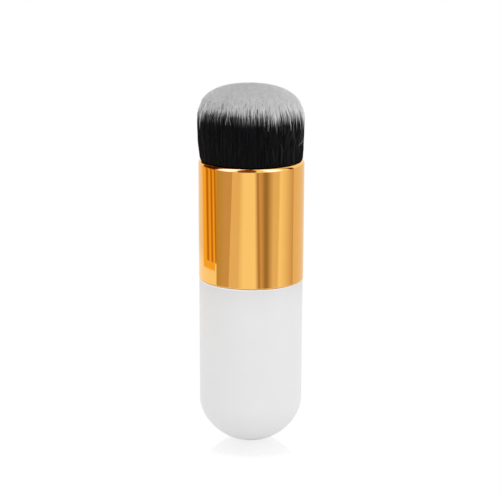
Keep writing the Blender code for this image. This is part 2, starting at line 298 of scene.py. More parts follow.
# World, floor and lamp. The mirror image of the foot in the floor fades between two distances.
WORLD_STRENGTH = 0.93
FLOOR_RADIUS = 4.0
FLOOR_STEPS = 96
FLOOR_DROP = 0.25 * MM
FLOOR_ALBEDO = 0.96
FLOOR_GLOW = 0.98
FLOOR_SHADOW_SHARE = 0.025
MIRROR_SHARE = 0.18
MIRROR_START = 14.0 * MM
MIRROR_END = 19.5 * MM
KEY_LIGHT = {"place": (0.75, -0.85, 1.0), "size": 0.7, "power": 2.3}

# Standing cards round the brush, which only its metal mirrors
CARD_RADIUS = 150 * MM
FAR_RADIUS = 206 * MM
ORANGE_RADIUS = 204 * MM
SLAT_RADIUS = 202 * MM
CARD_FOOT = 0.5 * MM
SLAT_FOOT = 4 * MM
CARD_TOP = 58 * MM
CARD_RIM = 84 * MM
CARD_FADE = 7.5 * MM
SHARP_FADE = 0.2 * MM
CARD_STEPS = 12

# Tones of the cards and panels, rounded and given after measurements of the photo
WHITE = 1.0
NEAR_WHITE = 0.9
PALE = 0.8
GREY = 0.6
DIM = 0.45
ORANGE = (0.95, 0.6, 0.1)
BURNT_ORANGE = (0.45, 0.15, 0.0)
OLIVE = (0.5, 0.4, 0.15)
SMOKE = (0.35, 0.25, 0.15)
COOL_LIGHT = (3.0, 2.4, 5.6)
COOL_RIM = (1.3, 1.25, 2.0)

# Overhead panels: name, middle angle, half width, lowest and highest elevation, tone in the middle and
# at the rim, and distance. Angles are in degrees from the photo's camera towards +X.
PANEL_STEPS = 32
PANEL_RINGS = 10
OVERHEAD_PANELS = (
    ("box_left", -57, 25, 2, 90, COOL_LIGHT, COOL_RIM, 0.6),
    ("box_right", 51, 24, 1, 86, COOL_LIGHT, COOL_RIM, 0.6),
    ("flag_middle", -10, 23, -14, 125, 0.15, 0.3, 0.6),
    ("flag_left", -104, 27, -8, 90, 0.03, 0.18, 0.6),
    ("flag_back", -150, 22, 20, 54, 0.04, 0.2, 0.62),
    ("flag_right", 96, 8, -2, 62, 0.06, 0.4, 0.6),
)


# Materials

def new_material(name):
    material = bpy.data.materials.new(name)
    material.use_nodes = True
    nodes = material.node_tree.nodes
    return material, nodes, material.node_tree.links, nodes["Principled BSDF"]


def noise_node(nodes, links, scale, detail, stretch=(1, 1, 1)):
    """Noise over the object's own coordinates, in metres, with stretch as a scale for each axis."""
    place = nodes.new("ShaderNodeTexCoord")
    mapping = nodes.new("ShaderNodeMapping")
    mapping.inputs["Scale"].default_value = stretch
    noise = nodes.new("ShaderNodeTexNoise")
    noise.inputs["Scale"].default_value = scale
    noise.inputs["Detail"].default_value = detail
    links.new(place.outputs["Object"], mapping.inputs["Vector"])
    links.new(mapping.outputs["Vector"], noise.inputs["Vector"])
    return noise.outputs["Fac"]


def ramp_node(nodes, links, fac, low, high, start=NOISE_LOW, end=NOISE_HIGH):
    ramp = nodes.new("ShaderNodeValToRGB")
    ramp.color_ramp.elements[0].position = start
    ramp.color_ramp.elements[1].position = end
    ramp.color_ramp.elements[0].color = low
    ramp.color_ramp.elements[1].color = high
    links.new(fac, ramp.inputs["Fac"])
    return ramp.outputs["Color"]


def range_node(nodes, links, fac, low, high):
    """Spreads a noise value from low to high."""
    spread = nodes.new("ShaderNodeMapRange")
    spread.inputs["From Min"].default_value = NOISE_LOW
    spread.inputs["From Max"].default_value = NOISE_HIGH
    spread.inputs["To Min"].default_value = low
    spread.inputs["To Max"].default_value = high
    links.new(fac, spread.inputs["Value"])
    return spread.outputs["Result"]


def bump_node(nodes, links, height, shader, strength, distance):
    bump = nodes.new("ShaderNodeBump")
    bump.inputs["Strength"].default_value = strength
    bump.inputs["Distance"].default_value = distance
    links.new(height, bump.inputs["Height"])
    links.new(bump.outputs["Normal"], shader.inputs["Normal"])


def plain_material(name, low, high, roughness, metallic=0.0, scale=PLAIN_MOTTLE):
    """Moulded, cast or turned stock: slight mottling in colour and roughness, and a fine bump."""
    material, nodes, links, shader = new_material(name)
    mottle = noise_node(nodes, links, scale, 3)
    grain = noise_node(nodes, links, scale * PLAIN_GRAIN, 2)
    links.new(ramp_node(nodes, links, mottle, low, high), shader.inputs["Base Color"])
    smooth, rough = roughness - PLAIN_ROUGHNESS_SWAY, roughness + PLAIN_ROUGHNESS_SWAY
    links.new(range_node(nodes, links, mottle, smooth, rough), shader.inputs["Roughness"])
    shader.inputs["Metallic"].default_value = metallic
    bump_node(nodes, links, grain, shader, *PLAIN_BUMP)
    return material


def handle_material():
    """Satin white plastic, with painted shade just under the ferrule and a painted highlight along its
    upper edge.
    """
    material = plain_material(
        "white_plastic", WHITE_PLASTIC_DIM, WHITE_PLASTIC, HANDLE_ROUGHNESS, scale=HANDLE_MOTTLE
    )
    nodes, links = material.node_tree.nodes, material.node_tree.links
    shader = nodes["Principled BSDF"]
    place = nodes.new("ShaderNodeTexCoord")
    split = nodes.new("ShaderNodeSeparateXYZ")
    links.new(place.outputs["Object"], split.inputs["Vector"])
    rise = nodes.new("ShaderNodeMapRange")
    rise.inputs["From Min"].default_value = SEAM_Z - PAINTED_UPPER_SHADE_REACH
    rise.inputs["From Max"].default_value = SEAM_Z
    links.new(split.outputs["Z"], rise.inputs["Value"])
    # Painted shade under the ferrule, and a painted highlight at the very top edge
    shade = nodes.new("ShaderNodeValToRGB")
    shade.color_ramp.elements[0].color = (1, 1, 1, 1)
    for position, level in PAINTED_UPPER_SHADE_AND_HIGHLIGHT:
        mark = shade.color_ramp.elements.new(position)
        mark.color = (level, level, level, 1)
    links.new(rise.outputs["Result"], shade.inputs["Fac"])
    blend = nodes.new("ShaderNodeMix")
    blend.data_type = "RGBA"
    blend.blend_type = "MULTIPLY"
    blend.inputs["Factor"].default_value = 1.0
    links.new(shader.inputs["Base Color"].links[0].from_socket, blend.inputs["A"])
    links.new(shade.outputs["Color"], blend.inputs["B"])
    links.new(blend.outputs["Result"], shader.inputs["Base Color"])
    return material


def gold_material():
    """Polished anodised metal: near mirror, with faint drawn streaks along the tube."""
    material, nodes, links, shader = new_material("polished_gold")
    mottle = noise_node(nodes, links, GOLD_MOTTLE, 3)
    streaks = noise_node(nodes, links, GOLD_STREAKS, 2, GOLD_STRETCH)
    links.new(ramp_node(nodes, links, mottle, GOLD_WARM, GOLD), shader.inputs["Base Color"])
    links.new(range_node(nodes, links, streaks, *GOLD_ROUGHNESS), shader.inputs["Roughness"])
    shader.inputs["Metallic"].default_value = 1.0
    bump_node(nodes, links, mottle, shader, *GOLD_BUMP)
    return material


def hair_material():
    """Two-tone fibre. Dye is the height above a hair's own dye line, and shade is its tint, which also
    holds painted light and shade.
    """
    material, nodes, links, shader = new_material("tuft_hair")
    dye = nodes.new("ShaderNodeAttribute")
    dye.attribute_name = "dye"
    shade = nodes.new("ShaderNodeAttribute")
    shade.attribute_name = "shade"
    edge = nodes.new("ShaderNodeMapRange")
    edge.interpolation_type = "SMOOTHSTEP"
    edge.inputs["From Min"].default_value = -DYE_BLEND
    edge.inputs["From Max"].default_value = DYE_BLEND
    links.new(dye.outputs["Fac"], edge.inputs["Value"])
    fleck = noise_node(nodes, links, HAIR_FLECKS, 3, HAIR_STRETCH)
    tint = nodes.new("ShaderNodeMath")
    tint.operation = "MULTIPLY"
    links.new(shade.outputs["Fac"], tint.inputs[0])
    links.new(range_node(nodes, links, fleck, *HAIR_FLECK_TINT), tint.inputs[1])
    two_tone = ramp_node(nodes, links, edge.outputs["Result"], BLACK_HAIR, GREY_HAIR, 0.0, 1.0)
    colour = nodes.new("ShaderNodeVectorMath")
    colour.operation = "SCALE"
    links.new(two_tone, colour.inputs[0])
    links.new(tint.outputs["Value"], colour.inputs["Scale"])
    links.new(colour.outputs["Vector"], shader.inputs["Base Color"])
    links.new(range_node(nodes, links, fleck, *HAIR_ROUGHNESS), shader.inputs["Roughness"])
    shader.inputs["Specular IOR Level"].default_value = HAIR_SPECULAR
    bump_node(nodes, links, fleck, shader, *HAIR_BUMP)
    return material


# Turned pieces

def turned_mesh(name, outline, steps):
    """Spins (radius, z) points about Z as a closed body. An outline that starts on the axis ends on it,
    runs up the inside and down the outside; any other outline closes on itself as a ring.
    On the bake map the turned side is a broad strip, with a small disc below and above it for the
    faces round each pole."""
    strip_low, strip_height, disc_low, disc_high, disc_radius = 0.1, 0.8, 0.05, 0.95, 0.045
    solid = outline[0][0] == 0
    ring_points = outline[1:-1] if solid else outline
    rings = len(ring_points)
    vertices = []
    for radius, z in ring_points:
        for i in range(steps):
            angle = 2 * math.pi * i / steps
            vertices.append((radius * math.cos(angle), radius * math.sin(angle), z))
    lengths = [0.0]
    closed_points = ring_points if solid else ring_points + [ring_points[0]]
    for (r0, z0), (r1, z1) in zip(closed_points, closed_points[1:]):
        lengths.append(lengths[-1] + math.hypot(r1 - r0, z1 - z0))
    total = lengths[-1]
    faces, corners = [], []
    for k in range(len(closed_points) - 1):
        low, high = k * steps, (k + 1) % rings * steps
        v0, v1 = (strip_low + strip_height * length / total for length in lengths[k : k + 2])
        for i in range(steps):
            j = (i + 1) % steps
            u0, u1 = i / steps, (i + 1) / steps
            faces.append((low + i, high + i, high + j, low + j))
            corners += [(u0, v0), (u0, v1), (u1, v1), (u1, v0)]
    if solid:
        for pole, ring, middle in ((outline[0], 0, disc_low), (outline[-1], rings - 1, disc_high)):
            centre = len(vertices)
            vertices.append((0, 0, pole[1]))
            for i in range(steps):
                j = (i + 1) % steps
                a, b = (i, j) if ring == 0 else (j, i)
                faces.append((centre, ring * steps + a, ring * steps + b))
                corners.append((middle, middle))
                for angle in (2 * math.pi * a / steps, 2 * math.pi * b / steps):
                    u = middle + disc_radius * math.cos(angle)
                    corners.append((u, middle + disc_radius * math.sin(angle)))
    mesh = bpy.data.meshes.new(name)
    mesh.from_pydata(vertices, [], faces)
    layer = mesh.uv_layers.new(name="OFBake")
    layer.uv.foreach_set("vector", np.array(corners, np.float32).ravel())
    mesh.shade_smooth()
    mesh.set_sharp_from_angle(angle=SHARP_ANGLE)
    return mesh


def new_piece(name, mesh, material, node):
    """A piece that stands for a CAD node and rides on the brush."""
    mesh.materials.append(material)
    piece = bpy.data.objects.new(name, mesh)
    bpy.context.scene.collection.objects.link(piece)
    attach(piece, "root")
    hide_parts(node)
    return piece


def base_curve(inset, inner_radius, outer_radius, steps):
    """Points of the handle's rounded end, on the curve that lies inset from the outside."""
    cut = 1 - (FOOT_RADIUS / BASE_RADIUS) ** BASE_EXPONENT
    depth = BASE_HEIGHT / cut ** (1 / BASE_EXPONENT) - inset
    widest = BASE_RADIUS - inset
    first = math.asin((inner_radius / widest) ** (BASE_EXPONENT / 2))
    last = math.asin(min(outer_radius / widest, 1) ** (BASE_EXPONENT / 2))
    points = []
    for i in range(steps + 1):
        angle = first + (last - first) * i / steps
        radius = widest * math.sin(angle) ** (2 / BASE_EXPONENT)
        points.append((radius, BASE_HEIGHT - depth * math.cos(angle) ** (2 / BASE_EXPONENT)))
    return points


def quarter_round(radius, z, reach_r, reach_z, steps):
    """Quarter arc about (radius, z), from straight up or down by reach_z to straight out by reach_r."""
    points = []
    for i in range(steps + 1):
        angle = math.radians(90 * i / steps)
        points.append((radius + reach_r * math.sin(angle), z + reach_z * math.cos(angle)))
    return points


def tilt_seam(mesh):
    """Tips the rim that meets the seam, and nothing else of the piece."""
    for vertex in mesh.vertices:
        if abs(vertex.co.z - SEAM_Z) < SEAM_REACH:
            vertex.co.z += SEAM_TILT * vertex.co.x


def make_handle():
    top_z = SEAM_Z - SEAM_GAP
    bore = BODY_RADIUS - SHELL_WALL
    cavity = base_curve(SHELL_WALL, CAVITY_FLOOR_RADIUS, BASE_RADIUS - SHELL_WALL, CAVITY_STEPS)
    rim_z = top_z - RIM_ROUND
    inner_rim = quarter_round(bore + RIM_ROUND, rim_z, -RIM_ROUND, RIM_ROUND, INNER_RIM_STEPS)[::-1]
    rim = quarter_round(SHELL_RADIUS - RIM_ROUND, rim_z, RIM_ROUND, RIM_ROUND, RIM_STEPS)
    side = [(SHELL_RADIUS, rim_z - STEADY_STRIP), (BASE_RADIUS, BASE_HEIGHT + STEADY_STRIP)]
    outside = base_curve(0, FOOT_RADIUS, BASE_RADIUS, BASE_STEPS)[::-1]
    foot_slope = math.atan2(outside[-2][1] - outside[-1][1], outside[-2][0] - outside[-1][0])
    foot = [(FOOT_RADIUS - FOOT_EDGE * math.cos(foot_slope), 0.0)]
    outline = [(0, cavity[0][1])] + cavity + inner_rim + rim + side + outside + foot + [(0, 0)]
    mesh = turned_mesh("handle_body", outline, TURN_STEPS)
    tilt_seam(mesh)
    return new_piece("handle_body", mesh, handle_material(), "handle_shell")


def make_ferrule():
    outer = BODY_RADIUS + FERRULE_PROUD
    flared = outer + FERRULE_FLARE
    lip_low_z = LIP_TOP_Z - LIP_HEIGHT
    lip = quarter_round(LIP_BORE, lip_low_z, flared - LIP_BORE, LIP_HEIGHT, LIP_STEPS)
    inner_height = LIP_HEIGHT - FERRULE_WALL
    inner_lip = quarter_round(LIP_BORE, lip_low_z, LIP_CURL, inner_height, INNER_LIP_STEPS)
    edge_z = SEAM_Z + LOWER_EDGE_ROUND
    side = [(flared, lip_low_z - STEADY_STRIP), (outer, edge_z + STEADY_STRIP)]
    lower = quarter_round(
        outer - LOWER_EDGE_ROUND, edge_z, LOWER_EDGE_ROUND, -LOWER_EDGE_ROUND, LOWER_EDGE_STEPS
    )[::-1]
    bore = BODY_RADIUS - FERRULE_WALL
    inner = [(bore, SEAM_Z), (bore, lip_low_z - STEADY_STRIP)] + inner_lip[::-1]
    outline = (lip + side + lower + inner)[::-1]
    mesh = turned_mesh("ferrule_tube", outline, TURN_STEPS)
    tilt_seam(mesh)
    return new_piece("ferrule_tube", mesh, gold_material(), "ferrule")


# Tuft

def tuft_radius(z):
    """Outer radius of the tuft at a height: it opens fast over the lip, then swells to its bulge."""
    above = np.maximum(z - LIP_TOP_Z, 0)
    swell = np.clip(above / (BULGE_Z - LIP_TOP_Z), 0, 1)
    at_lip = LIP_FLARE_SHARE * np.exp(-above / LIP_FLARE_HEIGHT)
    opened = 1 - at_lip - (1 - LIP_FLARE_SHARE) * (1 - swell) ** 2
    return TUFT_ROOT_RADIUS + (TUFT_BULGE_RADIUS - TUFT_ROOT_RADIUS) * opened


def dome_radius(z):
    rise = np.clip((z - BULGE_Z) / DOME_HEIGHT, 0, 1)
    return TUFT_BULGE_RADIUS * (1 - rise**DOME_EXPONENT) ** (1 / DOME_EXPONENT)


def dome_z(radius):
    across = np.clip(radius / TUFT_BULGE_RADIUS, 0, 1) ** DOME_EXPONENT
    return BULGE_Z + DOME_HEIGHT * (1 - across) ** (1 / DOME_EXPONENT)


def hair_radius(share, z):
    """Where a hair with this share of the tuft's radius stands at a height: it turns in with the dome."""
    turned_in = np.minimum(TUFT_BULGE_RADIUS - dome_radius(z), TURN_IN)
    return share * (tuft_radius(z) - turned_in)


def dome_lean(z):
    """How far the tuft stands to -X at a height: a little from the lip up, and more in the dome."""
    root = np.clip((z - LIP_TOP_Z) / TUFT_SHIFT_HEIGHT, 0, 1)
    rise = np.maximum(z - BULGE_Z, 0) / DOME_HEIGHT
    return TUFT_SHIFT * root + DOME_LEAN * rise**2


def ripple(angle, rng, lowest, highest, fade):
    """Smooth noise round the tuft, near -1 to 1, from waves that fade as they get finer."""
    total, power = np.zeros_like(angle), 0.0
    for wave in range(lowest, highest):
        size = (lowest / wave) ** fade
        total += size * np.cos(wave * angle + rng.uniform(0, 2 * math.pi))
        power += size**2 / 2
    return total / math.sqrt(power)


def patches(share, angle, rng):
    """Smooth noise over the tuft seen from above, near -1 to 1, for locks that differ in tint."""
    x, y = share * np.cos(angle), share * np.sin(angle)
    total = np.zeros_like(angle)
    for _ in range(PATCH_WAVES):
        wave, way = rng.uniform(*PATCH_WAVE_RANGE), rng.uniform(0, math.pi)
        along = x * math.cos(way) + y * math.sin(way)
        total += np.cos(wave * along + rng.uniform(0, 2 * math.pi))
    return total / math.sqrt(PATCH_WAVES / 2)


def dye_shape(angle):
    """Broad shape of the dye line round the tuft, before the hairs scatter it."""
    across, front = np.cos(angle), np.degrees(angle + math.pi / 2)
    front = (front + 180) % 360 - 180
    height = DYE_Z - DYE_SIDE_DROP * across**6 - DYE_RIGHT_DROP * across
    for middle, width, rise in DYE_LOBES:
        height = height + rise * np.exp(-(((front - middle) / width) ** 2))
    return height


def side_change(across, middle, slope, least, most):
    """A value that changes evenly from -X to +X, within two limits."""
    return np.clip(middle + slope * across, least, most)


def dye_line(share, angle, rng):
    """Height at which each hair turns from black to grey. To -X more hairs turn late, and fewer early.
    The line spreads more to +X, and once more at the far left."""
    across = np.cos(angle)
    spread = side_change(across, *DYE_SPREAD)
    spread += LEFT_EDGE_SPREAD * np.maximum(-across - LEFT_EDGE_START, 0)
    broad = DYE_BROAD_SHARE * DYE_CLUMP * ripple(angle, rng, *DYE_BROAD_WAVES)
    fine = DYE_FINE_SHARE * DYE_CLUMP * ripple(angle, rng, *DYE_FINE_WAVES)
    strand = DYE_STRAND * rng.normal(0, 1, angle.size)
    tail = DYE_TAIL * rng.exponential(1, angle.size)
    down, up = np.minimum(tail, DYE_TAIL_DOWN), np.minimum(tail, DYE_TAIL_UP)
    early = rng.random(angle.size) < DYE_TAIL_SHARE * side_change(across, *EARLY_TAILS)
    late = rng.random(angle.size) < DYE_TAIL_SHARE * side_change(across, *LATE_TAILS)
    late &= (share > SHOULDER_HAIR_SHARE) & ~early
    return dye_shape(angle) + broad + spread * (fine + strand) + up * late - down * early


def prism_faces(count, rings):
    """Vertex numbers and bake map corners of tapered prisms: their sides, then tips, then ends."""
    first = np.arange(count)[:, None, None] * (HAIR_SIDES * rings + 1)
    side = np.arange(HAIR_SIDES)
    after = (side + 1) % HAIR_SIDES
    ring = np.arange(rings - 1)[:, None] * HAIR_SIDES
    quads = np.stack(
        [ring + side, ring + after, ring + after + HAIR_SIDES, ring + side + HAIR_SIDES], -1
    )
    quads = (first[..., None] + quads.reshape(1, -1, 1, 4)).reshape(-1, 4)
    last = (rings - 1) * HAIR_SIDES
    tip = np.stack([last + side, last + after, np.full(HAIR_SIDES, last + HAIR_SIDES)], -1)
    tips = (first + tip[None]).reshape(-1, 3)
    ends = (first[:, 0] + np.array([[2, 1, 0]])).reshape(-1, 3)
    return quads, tips, ends


def cell_map(count, rings):
    """Bake map corners in the order of prism_faces. Each hair has its own narrow cell, with its three
    sides next to each other, its tip above them and its end below. These are shares of the cell."""
    cell_shape, side_low, side_height, tip_low, tip_high = 6, 0.08, 0.72, 0.82, 0.98
    side_left, side_right, side_pitch = 0.05, 0.33, 0.3
    columns = math.ceil(math.sqrt(count * cell_shape))
    rows = math.ceil(count / columns)
    cell = np.stack([np.arange(count) % columns, np.arange(count) // columns], -1)
    size = np.array([1 / columns, 1 / rows])
    side = np.arange(HAIR_SIDES)
    left, right = side_left + side_pitch * side, side_right + side_pitch * side
    low = side_low + side_height * np.arange(rings - 1) / (rings - 1)
    high = low + side_height / (rings - 1)
    quads = np.zeros((rings - 1, HAIR_SIDES, 4, 2))
    quads[..., 0, 0] = quads[..., 3, 0] = left
    quads[..., 1, 0] = quads[..., 2, 0] = right
    quads[..., 0, 1] = quads[..., 1, 1] = low[:, None]
    quads[..., 2, 1] = quads[..., 3, 1] = high[:, None]
    tips = np.zeros((HAIR_SIDES, 3, 2))
    tips[:, 0, 0], tips[:, 1, 0], tips[:, 2, 0] = left, right, (left + right) / 2
    tips[:, :2, 1], tips[:, 2, 1] = tip_low, tip_high
    ends = np.array([[0.2, 0.01], [0.8, 0.01], [0.5, 0.06]])
    parts = []
    for shape in (quads.reshape(-1, 2), tips.reshape(-1, 2), ends):
        parts.append(((cell[:, None] + shape[None]) * size).reshape(-1, 2))
    return np.concatenate(parts)


def hair_mesh(name, centres, width, turn, dye, shade):
    """Closed prisms along the centre lines, an array of hairs by points by 3. The last point of a line
    is its tip."""
    count, points = centres.shape[:2]
    rings = points - 1
    angle = turn[:, None] + 2 * math.pi * np.arange(HAIR_SIDES) / HAIR_SIDES
    spoke = np.stack([np.cos(angle), np.sin(angle), np.zeros_like(angle)], -1)
    sides = centres[:, :rings, None] + width[:, :, None, None] * spoke[:, None]
    vertices = np.concatenate([sides.reshape(count, -1, 3), centres[:, -1:]], 1)
    quads, tips, ends = prism_faces(count, rings)
    mesh = bpy.data.meshes.new(name)
    faces = quads.tolist() + tips.tolist() + ends.tolist()
    mesh.from_pydata(vertices.reshape(-1, 3).tolist(), [], faces)
    layer = mesh.uv_layers.new(name="OFBake")
    layer.uv.foreach_set("vector", cell_map(count, rings).astype(np.float32).ravel())
    ring_dye = np.repeat(dye[:, :rings], HAIR_SIDES, 1)
    values = {"dye": np.concatenate([ring_dye, dye[:, -1:]], 1)}
    values["shade"] = np.repeat(shade[:, None], vertices.shape[1], 1)
    for key, value in values.items():
        attribute = mesh.attributes.new(key, "FLOAT", "POINT")
        attribute.data.foreach_set("value", value.astype(np.float32).ravel())
    mesh.shade_smooth()
    return mesh


def hair_facts():
    """Seeded draws for all hairs: place, trim, comb, bend, dye line, tint with painted light and shade,
    painted glint and turn.
    """
    rng = np.random.default_rng(HAIR_SEED)
    number = np.arange(HAIR_COUNT)
    share = np.sqrt((number + 0.5) / HAIR_COUNT) + rng.normal(0, SHARE_SCATTER, HAIR_COUNT)
    angle = (number * GOLDEN_ANGLE + rng.normal(0, ANGLE_SCATTER, HAIR_COUNT)) % (2 * math.pi)
    share = np.clip(share, 0, 1)
    tip_radius = share * (TUFT_BULGE_RADIUS - TURN_IN)
    tip_z = dome_z(tip_radius) + TRIM_RISE - np.abs(rng.normal(0, TRIM_SPREAD, HAIR_COUNT))
    comb = TUFT_COMB * share**3 * ripple(angle, rng, *TUFT_COMB_WAVES)
    lean_rng = np.random.default_rng(HAIR_SEED + 1)
    crossing = lean_rng.random(HAIR_COUNT) < CROSS_SHARE
    comb += LOCK_COMB * share**3 * ripple(angle, lean_rng, *LOCK_COMB_WAVES)
    comb += CROSS_COMB * share**3 * lean_rng.normal(0, 1, HAIR_COUNT) * crossing
    # Painted light to +X and painted shade on the crown, then random patches and a scatter
    tint = 1 + PAINTED_RIGHT_LIGHT * share * np.cos(angle) + PAINTED_CROWN_SHADE * (share - PAINTED_CROWN_SHADE_MIDDLE)
    tint += PATCH_TINT * patches(share, angle, rng)
    # Painted glints gather at the two sides of the tuft, more to +X
    sides = np.cos(angle) ** 4 * (1 + PAINTED_GLINT_RIGHT_LEAN * np.cos(angle))
    return {
        "share": share,
        "angle": angle,
        "tip_z": tip_z,
        "comb": comb + rng.normal(0, HAIR_COMB, HAIR_COUNT),
        "bend": rng.normal(0, HAIR_BEND, HAIR_COUNT),
        "dye_z": dye_line(share, angle, rng),
        "shade": tint + rng.normal(0, HAIR_TINT, HAIR_COUNT),
        "painted_glint": PAINTED_GLINT * (1 + PAINTED_GLINT_SIDE_LIFT * sides) * rng.random(HAIR_COUNT)
        * (rng.random(HAIR_COUNT) < PAINTED_GLINT_SHARE * (1 + PAINTED_GLINT_SIDE_COUNT * sides)),
        "turn": rng.uniform(0, 2 * math.pi, HAIR_COUNT),
    }


def ring_heights(tip_z, length, rings):
    """Heights of a hair's rings: evenly down from its tip, or from the lip, where they crowd."""
    if length is None:
        low = np.repeat(LIP_Z + np.array([LIP_RINGS]), len(tip_z), 0)
        start_z, along = LIP_Z + LIP_RINGS[-1], np.linspace(0, 1, rings + 1)[None, 1:]
    else:
        low, start_z = np.zeros((len(tip_z), 0)), tip_z - length
        along = np.linspace(0, 1, rings)[None]
    high = start_z + (tip_z - HAIR_TIP_LENGTH - start_z) * along
    return np.concatenate([low, high, tip_z], 1)


def hair_piece(name, facts, chosen, length, rings, thickness, material):
    """Hairs picked by a mask, as long as length or from just inside the lip."""
    picked = {key: value[chosen][:, None] for key, value in facts.items()}
    tip_z = picked["tip_z"]
    z = ring_heights(tip_z, length, rings)
    radius = hair_radius(picked["share"], z)
    free = np.clip((z - LIP_Z) / (tip_z - LIP_Z), 0, 1)
    radius += picked["bend"] * free
    angle = picked["angle"] + picked["comb"] * free**2 / np.maximum(radius, COMB_LEAST_RADIUS)
    centres = np.stack([radius * np.cos(angle) - dome_lean(z), radius * np.sin(angle), z], -1)
    narrowed = np.clip((z - tip_z + HAIR_TAPER_LENGTH) / HAIR_TAPER_LENGTH, 0, 1)
    taper = 1 - (1 - HAIR_TIP_SHARE) * narrowed
    width = thickness * taper[:, :-1]
    # A painted glint lifts a black hair's tone towards grey, as a painted highlight
    dye = np.maximum(z - picked["dye_z"], -DYE_BLEND * (1 - picked["painted_glint"]))
    mesh = hair_mesh(name, centres, width, picked["turn"][:, 0], dye, picked["shade"][:, 0])
    return new_piece(name, mesh, material, "bristles")


def make_core(material):
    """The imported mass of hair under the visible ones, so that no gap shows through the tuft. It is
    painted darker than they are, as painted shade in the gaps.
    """
    heights = np.linspace(ROOT_Z, BULGE_Z, CORE_SIDE_STEPS)
    side = [(float(tuft_radius(z)) - CORE_DEPTH, float(z)) for z in heights]
    widest = side[-1][0]
    height = DOME_HEIGHT - CORE_TOP_DEPTH
    dome = []
    for turn in np.radians(np.linspace(*CORE_DOME_ENDS, CORE_DOME_STEPS)):
        radius = widest * math.cos(turn) ** (2 / DOME_EXPONENT)
        dome.append((radius, BULGE_Z + height * math.sin(turn) ** (2 / DOME_EXPONENT)))
    top_z = BULGE_Z + height
    outline = [(0, ROOT_Z)] + side + dome + [(0, top_z)]
    mesh = turned_mesh("bristle_core", outline, CORE_TURN_STEPS)
    place = np.zeros(len(mesh.vertices) * 3)
    mesh.vertices.foreach_get("co", place)
    place = place.reshape(-1, 3)
    place[:, 0] -= dome_lean(place[:, 2])
    mesh.vertices.foreach_set("co", place.ravel())
    rng = np.random.default_rng(HAIR_SEED)
    # A higher dye line and a lower shade: painted shade in the gaps between hairs
    lowest = dye_shape(np.arctan2(place[:, 1], place[:, 0])) + CORE_PAINTED_SHADE_RISE
    shade = rng.normal(*CORE_PAINTED_SHADE, len(place))
    for key, value in (("dye", place[:, 2] - lowest), ("shade", shade)):
        attribute = mesh.attributes.new(key, "FLOAT", "POINT")
        attribute.data.foreach_set("value", value.astype(np.float32))
    return new_piece("bristle_core", mesh, material, "bristles")


def make_strays(material):
    """Loose hairs that lie across the tuft. Each has a start angle and height, and a lean round it."""
    rng = np.random.default_rng(STRAY_SEED)
    start = rng.uniform(0, 2 * math.pi, STRAY_COUNT)
    low = LIP_TOP_Z + rng.uniform(*STRAY_START, STRAY_COUNT)
    length = rng.uniform(*STRAY_LENGTH, STRAY_COUNT)
    lean = rng.normal(0, STRAY_LEAN, STRAY_COUNT)
    lean += STRAY_CROSS * (rng.random(STRAY_COUNT) < STRAY_CROSS_SHARE)
    start[0], low[0], length[0], lean[0] = LIGHT_STRAY
    along = np.linspace(0, 1, STRAY_POINTS)[None]
    z = low[:, None] + length[:, None] * along
    z[:, -1] += HAIR_TIP_LENGTH
    sink = STRAY_SINK * (2 * along - 1) ** 4
    radius = hair_radius(np.ones((STRAY_COUNT, 1)), z) + STRAY_LIFT - sink
    radius[0] += LIGHT_STRAY_LIFT
    bow = STRAY_BOW * rng.normal(0, 1, (STRAY_COUNT, 1)) * along**2
    angle = start[:, None] + (lean[:, None] * along + bow) * length[:, None] / STRAY_LEAN_LENGTH
    centres = np.stack([radius * np.cos(angle) - dome_lean(z), radius * np.sin(angle), z], -1)
    width = np.full((STRAY_COUNT, STRAY_POINTS - 1), STRAY_RADIUS)
    width[0] = LIGHT_STRAY_RADIUS
    width[:, 0] *= STRAY_ENDS[0]
    width[:, -1] *= STRAY_ENDS[1]
    # Painted light: strays that start towards +X are painted lighter
    painted_right_light = 1 + PAINTED_STRAY_RIGHT_LIGHT * np.maximum(np.cos(start), 0)
    tone = STRAY_TONE * painted_right_light * rng.uniform(*STRAY_TONE_RANGE, STRAY_COUNT)
    tone = np.where(z.mean(1) > DYE_Z, 1.0, tone)
    tone[0] = LIGHT_STRAY_TONE
    dye = np.repeat(DYE_BLEND * (2 * tone[:, None] - 1), STRAY_POINTS, 1)
    shade = rng.uniform(*STRAY_SHADE, STRAY_COUNT)
    turn = rng.uniform(0, 2 * math.pi, STRAY_COUNT)
    mesh = hair_mesh("bristle_strays", centres, width, turn, dye, shade)
    return new_piece("bristle_strays", mesh, material, "bristles")


def make_tuft():
    material = hair_material()
    make_core(material)
    facts = hair_facts()
    share = facts["share"]
    side = share > SIDE_HAIR_SHARE
    shoulder = (share > SHOULDER_HAIR_SHARE) & ~side
    crown = share <= SHOULDER_HAIR_SHARE
    for name, chosen, length, rings, radius in (
        ("bristle_sides", side, None, SIDE_HAIR_RINGS, SIDE_HAIR_RADIUS),
        ("bristle_shoulder", shoulder, SHOULDER_HAIR_LENGTH, SHOULDER_HAIR_RINGS, HAIR_RADIUS),
        ("bristle_crown", crown, CROWN_HAIR_LENGTH, CROWN_HAIR_RINGS, HAIR_RADIUS),
    ):
        hair_piece(name, facts, chosen, length, rings, radius, material)
    make_strays(material)


def dress_inner_pieces():
    for node, finish in INNER_FINISHES.items():
        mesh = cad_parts[node].data
        mesh.materials.clear()
        mesh.materials.append(plain_material(*finish))


# Studio

